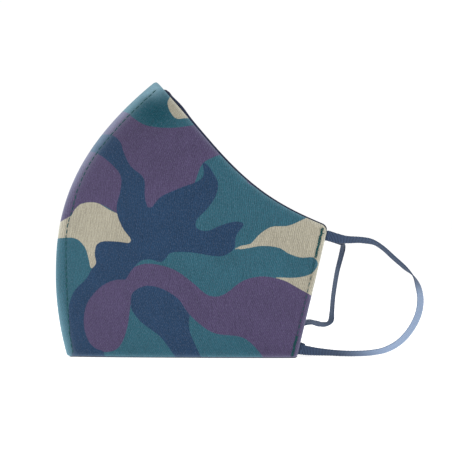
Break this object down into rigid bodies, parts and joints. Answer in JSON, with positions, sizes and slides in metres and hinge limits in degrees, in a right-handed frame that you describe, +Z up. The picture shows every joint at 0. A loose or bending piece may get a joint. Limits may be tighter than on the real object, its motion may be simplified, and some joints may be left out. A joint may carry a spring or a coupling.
{
  "type": "cloth face mask",
  "caption": "Two-layer cloth face mask in camouflage print, with a curved centre seam and flat elastic ear loops, standing open on its lower edge.",
  "frame": {"origin": "on the resting plane, under the middle of the bounding box of the mask without its ear loops", "axes": "+Z up, the nose and centre seam face -Y, the wearer's left side is +X"},
  "size_m": [0.1466, 0.1749, 0.1313],
  "materials": {
    "camo_cloth": "printed cotton twill in teal, purple, navy and khaki, matt",
    "lining_cloth": "plain woven cotton in dark navy, matt",
    "thread": "spun polyester sewing thread, slight sheen",
    "elastic": "flat ribbed elastic in slate blue, soft sheen"
  },
  "bodies": {
    "front": {"shell_left_front": "camo_cloth", "shell_right_front": "camo_cloth", "lining_left_front": "lining_cloth", "lining_right_front": "lining_cloth", "centre_stitch_left": "thread", "centre_stitch_right": "thread"},
    "left_cheek": {"shell_left_cheek": "camo_cloth", "lining_left_cheek": "lining_cloth", "hem_stitch_left": "thread", "bar_tack_left_top": "thread", "bar_tack_left_bottom": "thread", "elastic_end_left_top": "elastic", "elastic_end_left_bottom": "elastic"},
    "right_cheek": {"shell_right_cheek": "camo_cloth", "lining_right_cheek": "lining_cloth", "hem_stitch_right": "thread", "bar_tack_right_top": "thread", "bar_tack_right_bottom": "thread", "elastic_end_right_top": "elastic", "elastic_end_right_bottom": "elastic"},
    "left_loop": {"ear_loop_left": "elastic"},
    "right_loop": {"ear_loop_right": "elastic"}
  },
  "joints": [
    {"name": "left_cheek_flex", "type": "hinge", "parent": "front", "child": "left_cheek", "pos_m": [0.03615, -0.00379, 0], "axis": [0.0607, 0.286, 0.9563], "range_deg": [-20, 15], "stiffness_Nm_per_rad": 0.005},
    {"name": "right_cheek_flex", "type": "hinge", "parent": "front", "child": "right_cheek", "pos_m": [-0.03615, -0.00379, 0], "axis": [0.0607, -0.286, -0.9563], "range_deg": [-20, 15], "stiffness_Nm_per_rad": 0.005},
    {"name": "left_loop_swing", "type": "hinge", "parent": "left_cheek", "child": "left_loop", "pos_m": [0.04448, 0.05171, 0.0041], "axis": [0.023, 0.2299, 0.9729], "range_deg": [-80, 25], "stiffness_Nm_per_rad": 0.002},
    {"name": "right_loop_swing", "type": "hinge", "parent": "right_cheek", "child": "right_loop", "pos_m": [-0.04448, 0.05171, 0.0041], "axis": [0.023, -0.2299, -0.9729], "range_deg": [-50, 90], "stiffness_Nm_per_rad": 0.002}
  ]
}
